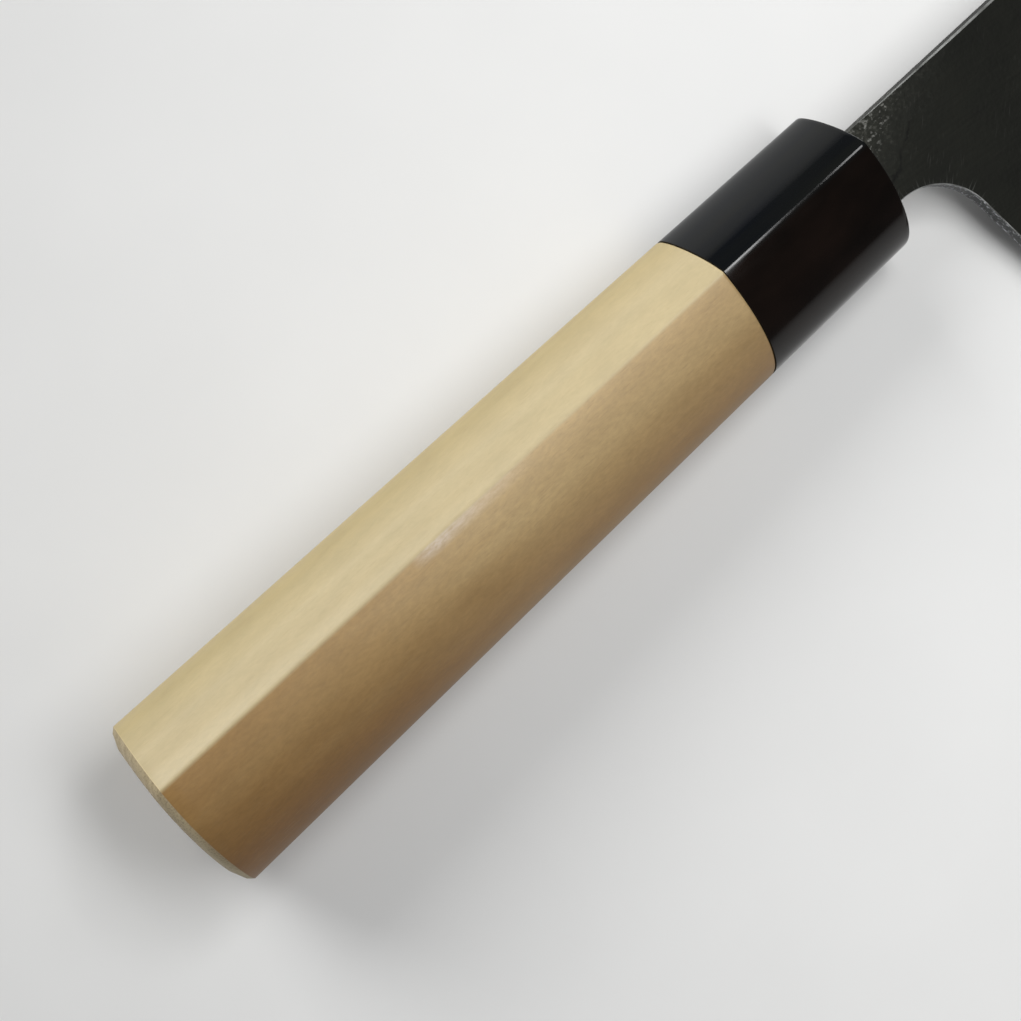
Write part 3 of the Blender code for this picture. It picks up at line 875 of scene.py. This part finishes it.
    def neck_seam(self, dip):
        """A mask of the broken dark line where the hammer left the facet's edge."""
        sway = self.math("SUBTRACT", self.noise((260, 260, 260), detail=4), 0.5)
        waver = self.math("MULTIPLY", sway, NECK_SEAM_WAVER)
        aside = self.math("DIVIDE", self.math("ABSOLUTE", self.math("ADD", dip, waver)), NECK_SEAM_WIDTH)
        breaks = self.ramp(self.noise((330, 330, 330), detail=2), (0.45, 0.0), (0.60, 0.75))
        return self.math("MULTIPLY", self.ramp(aside, (0.3, 1.0), (1.0, 0.0)), breaks)

    def wear_above_bevel(self):
        """0 where the cheek meets the ground bevel, 1 from a ragged line a little above it."""
        heel = heel_point(BELOW_AXIS)
        length = BLADE_REACH - heel.x
        x, y, z = self.axes()
        share = self.math("MAXIMUM", self.math("DIVIDE", self.math("SUBTRACT", x, heel.x), length), 0)
        belly = self.math("MULTIPLY", self.math("POWER", share, BELLY_POWER), EDGE_RISE)
        steepness = EDGE_RISE * BELLY_POWER / length
        slope = self.math("MULTIPLY", self.math("POWER", share, BELLY_POWER - 1), steepness)
        above_edge = self.math("SUBTRACT", self.math("SUBTRACT", y, BELOW_AXIS), belly)
        distance = self.math("DIVIDE", above_edge, self.length(slope, 1.0))
        ground_half = self.math("MULTIPLY", distance, BEVEL_SLOPE)
        excess = self.math("SUBTRACT", ground_half, self.math("ABSOLUTE", z))
        ragged = self.noise((240, 500, 500), detail=6, roughness=0.65)
        reach = self.math("MULTIPLY", self.math("SUBTRACT", ragged, 0.35), SHINOGI_WEAR * BEVEL_SLOPE)
        return self.math("DIVIDE", excess, self.math("MAXIMUM", reach, WELD_DISTANCE))

    def finish(self, colour, roughness, normal):
        self.link(colour, self.surface.inputs["Base Color"])
        self.link(roughness, self.surface.inputs["Roughness"])
        self.link(normal, self.surface.inputs["Normal"])
        return self.material


def lower_facet_shade_and_sheen(shader, x):
    """Painted shade below the ridge, from the ferrule to the butt, with a painted sheen ahead of the middle
    and a little waver.
    """
    sway = shader.math("SUBTRACT", shader.noise((40, 160, 160), detail=3), 0.5)
    waver = shader.math("MULTIPLY", sway, SHADE_WAVER)
    along = shader.math("SUBTRACT", waver, shader.math("DIVIDE", x, HANDLE_LENGTH))
    tones = (FERRULE_SHADE_TONE, SHEEN_TONE, MIDDLE_SHADE_TONE, BUTT_SHADE_TONE)
    return shader.ramp(along, *zip((0.25, 0.52, 0.72, 1.0), tones))


def flank_tone_and_shade(shader, below):
    """The darker flanks, by a place's share of the section's height from its top: greener at the top edge,
    painted shade at the bottom.
    """
    level = shader.math("ADD", shader.math("DIVIDE", below, SECTION_HEIGHT), TOP_ABOVE_RIDGE)
    return shader.ramp(level, (0.0, TOP_TONE), (0.12, 1.0), (0.56, 1.0), (0.92, BOTTOM_SHADE_TONE))


def polish_and_highlight_patch(shader, x, below):
    """A mask of the stretch just below the ridge that the hand has smoothed to a polish, which also carries
    a painted highlight.
    """
    deep = shader.math("DIVIDE", below, POLISH_DEPTH)
    beside_ridge = shader.ramp(deep, (0.0, 0.0), (0.15, 0.9), (0.45, 1.0), (1.0, 0.0))
    ahead = shader.math("DIVIDE", shader.math("SUBTRACT", x, POLISH_START), POLISH_LENGTH)
    along_ridge = shader.ramp(ahead, (0.0, 0.0), (0.16, 1.0), (0.4, 0.7), (1.0, 0.0))
    return shader.math("MULTIPLY", beside_ridge, along_ridge)


def wood_material(name, upper_tone):
    """Pale magnolia wood: faint rings, short fine flecks along the grain, a satin hand-worn finish, with
    painted shade, sheen and highlights.
    """
    shader = Shader(name)
    x = shader.axes()["X"]
    below = shader.below_ridge()
    lower_share = shader.ramp(shader.math("DIVIDE", below, RIDGE_SHADE_DEPTH), (0.0, 0.0), (1.0, 1.0))
    rings = shader.noise((5, 210, 210), detail=2, distortion=0.3)
    colour = shader.ramp(rings, (0.30, WOOD_DARK), (0.70, WOOD_PALE))
    # Painted shade and sheen below the ridge, against the plain tone above it
    colour = shader.tint(colour, shader.mix(lower_share, upper_tone, lower_facet_shade_and_sheen(shader, x)))
    # Painted shade towards the bottom of the flank
    colour = shader.tint(colour, flank_tone_and_shade(shader, below))
    clouds = shader.noise((130, 330, 330), detail=4, roughness=0.6)
    colour = shader.tint(colour, shader.ramp(clouds, (0.3, 0.91), (0.7, 1.02)))
    grain_share = shader.ramp(lower_share, (0.0, UPPER_GRAIN_SHARE), (1.0, 1.0))
    flecks = shader.noise((850, 2200, 2200), detail=5, roughness=0.65)
    flecked = shader.tint(colour, shader.ramp(flecks, (0.32, 0.87), (0.68, 1.03)))
    colour = shader.mix(grain_share, colour, flecked)
    pores = shader.ramp(shader.noise((420, 4600, 4600), detail=2), (0.30, 1.0), (0.40, 0.0))
    pore_share = shader.math("MULTIPLY", pores, shader.math("MULTIPLY", grain_share, PORE_SHARE))
    colour = shader.mix(pore_share, colour, PORE_TONE)
    polish_and_highlight = polish_and_highlight_patch(shader, x, below)
    # Painted highlight: the polished stretch is painted paler in patches
    highlight_patch = shader.math("MULTIPLY", polish_and_highlight, shader.ramp(flecks, (0.35, 0.4), (0.6, 1.0)))
    colour = shader.mix(shader.math("MULTIPLY", highlight_patch, POLISH_HIGHLIGHT_SHARE), colour, POLISH_HIGHLIGHT_TONE)
    satin = shader.ramp(flecks, (0.3, 0.44), (0.7, 0.51))
    roughness = shader.mix(polish_and_highlight, satin, (POLISHED_ROUGHNESS,) * 3)
    height = shader.math("ADD", flecks, shader.math("MULTIPLY", pores, -PORE_DEPTH_SHARE))
    return shader.finish(colour, roughness, shader.bump(height, depth=0.000008))


def end_grain_material():
    """The sanded butt, cut across the grain: growth rings as arcs, and fine pores."""
    shader = Shader("ho_end_grain")
    _, y, z = shader.axes()
    aside = shader.math("SUBTRACT", y, PITH.x)
    below = shader.math("SUBTRACT", z, PITH.y)
    waver = shader.math("MULTIPLY", shader.noise((60, 60, 60), detail=2), RING_WAVER)
    away = shader.math("ADD", shader.length(aside, below), waver)
    rings = shader.noise_along(away, scale=700, detail=3)
    colour = shader.ramp(rings, (0.35, END_GRAIN_DARK), (0.65, END_GRAIN_PALE))
    pores = shader.noise((2600, 4200, 4200), detail=3)
    colour = shader.tint(colour, shader.ramp(pores, (0.36, 0.72), (0.50, 1.0)))
    roughness = shader.ramp(pores, (0.3, 0.62), (0.7, 0.54))
    return shader.finish(colour, roughness, shader.bump(pores, depth=0.00002))


def horn_material(name, gloss):
    """Polished black buffalo horn, streaked lengthwise: a painted blue-tinged reflection above the ridge,
    brownish below it.
    """
    shader = Shader(name)
    streaks = shader.noise((22, 300, 300), detail=3, distortion=0.5)
    # Painted reflection: the blue-tinged tone above the ridge
    blue_reflection = shader.ramp(streaks, *zip((0.35, 0.75), HORN_BLUE_REFLECTION))
    clouds = shader.noise((70, 130, 130), detail=4)
    brownish = shader.ramp(clouds, *zip((0.35, 0.65), HORN_BROWNISH))
    below = shader.math("DIVIDE", shader.below_ridge(), HORN_TONE_DEPTH)
    colour = shader.mix(shader.ramp(below, (0.0, 0.0), (1.0, 1.0)), blue_reflection, brownish)
    smears = shader.noise((160, 700, 700), detail=5)
    roughness = shader.ramp(smears, (0.35, 0.075), (0.7, 0.125))
    scratches = shader.noise((90, 6000, 6000), detail=2)
    shader.surface.inputs["Specular IOR Level"].default_value = gloss
    return shader.finish(colour, roughness, shader.bump(scratches, depth=0.0000004))


def neck_scale(shader, colour, grains, neck_share, dip):
    """Lay the neck's rubbed coarse scale over a colour, with its bare flecks and the seam of the facet."""
    colour = shader.mix(neck_share, colour, shader.ramp(grains, *zip((0.35, 0.55, 0.70), NECK_TONES)))
    flecks = shader.ramp(shader.noise((1700, 2400, 2400), detail=3), (0.56, 0.0), (0.70, 1.0))
    fleck_share = shader.ramp(dip, (0.25, 0.0), (0.42, 0.36), (0.60, 0.40), (0.85, 0.2))
    colour = shader.mix(shader.math("MULTIPLY", flecks, fleck_share), colour, NECK_FLECK_TONE)
    return shader.mix(shader.neck_seam(dip), colour, NECK_SEAM_TONE)


def forged_material():
    """Forge-black iron: dark greenish scale, coarser and rubbed bright at the neck, worn above the bevel."""
    shader = Shader("forge_black_iron")
    clouds = shader.noise((90, 130, 130), detail=6, roughness=0.6)
    colour = shader.ramp(clouds, (0.3, FORGED_DARK), (0.7, FORGED_PALE))
    brushed = shader.noise((110, 2600, 2600), detail=3, turn=0.12)
    colour = shader.tint(colour, shader.ramp(brushed, (0.35, 0.82), (0.65, 1.0)))
    colour = shader.mix(shader.scratches(turn=-0.75), colour, SCRATCH_TONE)
    colour = shader.mix(shader.choil_marks(), colour, CHOIL_MARK_TONE)
    dip = shader.neck_dip()
    near = shader.math("DIVIDE", shader.math("ADD", dip, NECK_FADE), 1 + NECK_FADE)
    neck_share = shader.ramp(near, (0.0, 0.0), (0.31, 0.09), (0.55, 0.26), (0.78, 0.48), (0.94, 1.0))
    grains = shader.noise((1500, 1500, 1500), detail=6, roughness=0.7)
    colour = neck_scale(shader, colour, grains, neck_share, dip)
    wear = shader.ramp(shader.wear_above_bevel(), (0.0, 1.0), (0.5, 0.35), (1.0, 0.0))
    colour = shader.mix(wear, colour, SHINOGI_WEAR_TONE)
    smooth_scale = shader.ramp(clouds, (0.3, 0.54), (0.7, 0.66))
    roughness = shader.mix(neck_share, smooth_scale, shader.ramp(grains, (0.3, 0.62), (0.7, 0.48)))
    pits = shader.noise((1500, 1500, 1500), detail=5, roughness=0.6)
    height = shader.math("ADD", pits, shader.math("MULTIPLY", grains, neck_share))
    shader.surface.inputs["Metallic"].default_value = FORGED_METALLIC
    shader.surface.inputs["Specular IOR Level"].default_value = FORGED_GLOSS
    return shader.finish(colour, roughness, shader.bump(height, depth=0.00005))


def ground_material():
    """The bevel off the whetstone: hazy iron above a wavy line, brighter steel towards the edge."""
    shader = Shader("ground_bevel")
    lines = shader.noise((4200, 150, 150), detail=3, turn=0.18)
    iron = shader.ramp(lines, *zip((0.3, 0.7), IRON_TONES))
    steel = shader.ramp(lines, *zip((0.3, 0.7), STEEL_TONES))
    waves = shader.noise((190, 60, 60), detail=4, roughness=0.45)
    sway = shader.math("MULTIPLY", shader.math("SUBTRACT", waves, 0.5), LAMINATION_WAVE)
    across = shader.math("ADD", shader.math("ABSOLUTE", shader.axes()["Z"]), sway)
    above = shader.math("DIVIDE", shader.math("SUBTRACT", across, CORE_THICKNESS / 2), LAMINATION_BLUR)
    share = shader.ramp(above, (0.0, 0.0), (1.0, 1.0))
    line = shader.ramp(above, (0.0, 0.0), (0.5, 0.55), (1.0, 0.0))
    colour = shader.mix(line, shader.mix(share, steel, iron), LAMINATION_TONE)
    steel_roughness = shader.ramp(lines, (0.3, 0.36), (0.7, 0.42))
    iron_roughness = shader.ramp(lines, (0.3, 0.40), (0.7, 0.50))
    roughness = shader.mix(share, steel_roughness, iron_roughness)
    shader.surface.inputs["Metallic"].default_value = 1.0
    return shader.finish(colour, roughness, shader.bump(lines, depth=0.000003))


def filed_material():
    """Walls of the neck, choil and heel: dark scale that also paints a dark reflection, filed bright in
    ragged grains towards the rims as painted glints.
    """
    shader = Shader("filed_wall")
    strokes = shader.noise((500, 500, 3800), detail=3)
    filed = shader.ramp(strokes, *zip((0.3, 0.7), FILED_TONES))
    grains = shader.noise((3000, 3000, 3000), detail=4, roughness=0.6)
    outward = shader.math("DIVIDE", shader.math("ABSOLUTE", shader.axes()["Z"]), SPINE_THICKNESS / 2)
    bareness_and_glints = shader.math("ADD", grains, shader.math("MULTIPLY", outward, RIM_GLINT_BARENESS))
    # Painted dark reflection over most of the wall, painted glints of bare metal near the rims
    colour = shader.mix(shader.ramp(bareness_and_glints, (0.62, 0.0), (0.72, 1.0)), FILED_SCALE_AND_DARK_REFLECTION, filed)
    roughness = shader.ramp(strokes, (0.3, 0.30), (0.7, 0.42))
    shader.surface.inputs["Metallic"].default_value = FILED_METALLIC
    return shader.finish(colour, roughness, shader.bump(strokes, depth=0.00001))


def worn_and_highlight_material():
    """Arrises where the scale is rubbed towards bare iron, more in some places than in others, and paler as
    painted highlights.
    """
    shader = Shader("worn_arris_highlight")
    breaks = shader.noise((170, 420, 420), detail=5, roughness=0.6)
    # Worn iron, and a painted highlight along the arrises
    colour = shader.ramp(breaks, *zip((0.34, 0.58), WORN_AND_HIGHLIGHT_TONES))
    roughness = shader.ramp(breaks, (0.38, 0.58), (0.66, 0.44))
    shader.surface.inputs["Metallic"].default_value = WORN_METALLIC
    return shader.finish(colour, roughness, shader.bump(breaks, depth=0.00001))


def resin_material():
    """Brown resin, cloudy and uneven."""
    shader = Shader("set_resin")
    clouds = shader.noise((500, 500, 500), detail=4)
    colour = shader.ramp(clouds, *zip((0.3, 0.7), RESIN_TONES))
    roughness = shader.ramp(clouds, (0.3, 0.3), (0.7, 0.5))
    return shader.finish(colour, roughness, shader.bump(clouds, depth=0.0001))


def floor_material():
    """A plain pale floor, faintly mottled."""
    shader = Shader("pale_floor")
    mottle = shader.noise((40, 40, 40), detail=3)
    colour = shader.ramp(mottle, *zip((0.3, 0.7), FLOOR_TONES))
    roughness = shader.ramp(mottle, (0.3, 0.62), (0.7, 0.66))
    return shader.finish(colour, roughness, shader.bump(mottle, depth=0.00001))


# Floor, lamps and camera


def make_floor():
    half = FLOOR_HALF_SIZE
    corners = [(-half, -half, 0), (half, -half, 0), (half, half, 0), (-half, half, 0)]
    mesh = bpy.data.meshes.new("floor")
    mesh.from_pydata(corners, [], [(0, 1, 2, 3)])
    floor = mesh_object("floor", mesh)
    mesh.materials.append(floor_material())


def make_sun(name, towards, strength, spread):
    """A soft far lamp that shines from the given direction."""
    lamp = bpy.data.lights.new(name, "SUN")
    lamp.energy = strength
    lamp.angle = spread
    body = bpy.data.objects.new(name, lamp)
    body.rotation_euler = Vector(towards).to_track_quat("Z", "Y").to_euler()
    bpy.context.scene.collection.objects.link(body)


def make_softbox(name, place, target, turn, width, length, radiance):
    """An even rectangular lamp close to the knife, of the given radiance. The camera doesn't see it."""
    lamp = bpy.data.lights.new(name, "AREA")
    lamp.shape = "RECTANGLE"
    lamp.size = width
    lamp.size_y = length
    lamp.energy = radiance * math.pi * width * length
    body = bpy.data.objects.new(name, lamp)
    facing = (Vector(place) - Vector(target)).to_track_quat("Z", "Y").to_matrix().to_4x4()
    body.matrix_world = Matrix.Translation(place) @ facing @ Matrix.Rotation(turn, 4, "Z")
    body.visible_camera = False
    bpy.context.scene.collection.objects.link(body)


def make_lamps():
    """The key lamp from the spine's side, a faint one on the butt, and three that the knife mirrors."""
    make_sun("key_lamp", towards=(-0.1, 0.88, 0.46), strength=2.25, spread=math.radians(32))
    make_sun("butt_lamp", towards=(-0.9, -0.15, 0.30), strength=0.4, spread=math.radians(30))
    make_softbox(
        "strip_lamp",
        place=(0.019, -0.01, 0.31),
        target=(0.019, -0.01, 0),
        turn=math.radians(-9),
        width=0.12,
        length=0.32,
        radiance=5.1,
    )
    make_softbox(
        "ridge_lamp_back",
        place=(0.080, 0.080, 0.315),
        target=(0.080, 0.01, 0.02),
        turn=0,
        width=0.014,
        length=0.10,
        radiance=20.0,
    )
    make_softbox(
        "ridge_lamp_front",
        place=(0.127, 0.080, 0.305),
        target=(0.127, 0.01, 0.02),
        turn=0,
        width=0.016,
        length=0.10,
        radiance=14.0,
    )


def make_world():
    world = bpy.data.worlds.new("studio")
    bpy.context.scene.world = world
    world.use_nodes = True
    background = world.node_tree.nodes["Background"]
    background.inputs["Color"].default_value = (*WORLD_TONE, 1)
    background.inputs["Strength"].default_value = WORLD_STRENGTH


def make_camera():
    lens = bpy.data.cameras.new("camera")
    lens.lens = CAMERA_LENS
    lens.sensor_width = CAMERA_SENSOR
    lens.clip_start, lens.clip_end = CAMERA_CLIP
    camera = bpy.data.objects.new("camera", lens)
    camera.matrix_world = REST @ Matrix.LocRotScale(CAMERA_PLACE, CAMERA_TURN, None)
    bpy.context.scene.collection.objects.link(camera)
    bpy.context.scene.camera = camera


def main():
    blade = [forged_material(), ground_material(), filed_material(), worn_and_highlight_material()]
    wood = [
        wood_material("ho_wood", UPPER_TONE),
        # The arrises' material: the wood with a painted highlight
        wood_material("ho_wood_arris_highlight", ARRIS_HIGHLIGHT_TONE),
        end_grain_material(),
    ]
    horn = [horn_material("black_horn", HORN_GLOSS), horn_material("black_horn_ridge", HORN_RIDGE_GLOSS)]
    make_handle(wood)
    make_ferrule(horn)
    make_core(blade)
    make_cladding(1, blade)
    make_cladding(-1, blade)
    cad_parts["tang_bedding"].material_slots[0].material = resin_material()
    make_floor()
    make_lamps()
    make_world()
    make_camera()
    bpy.context.scene.view_settings.view_transform = "Standard"


main()
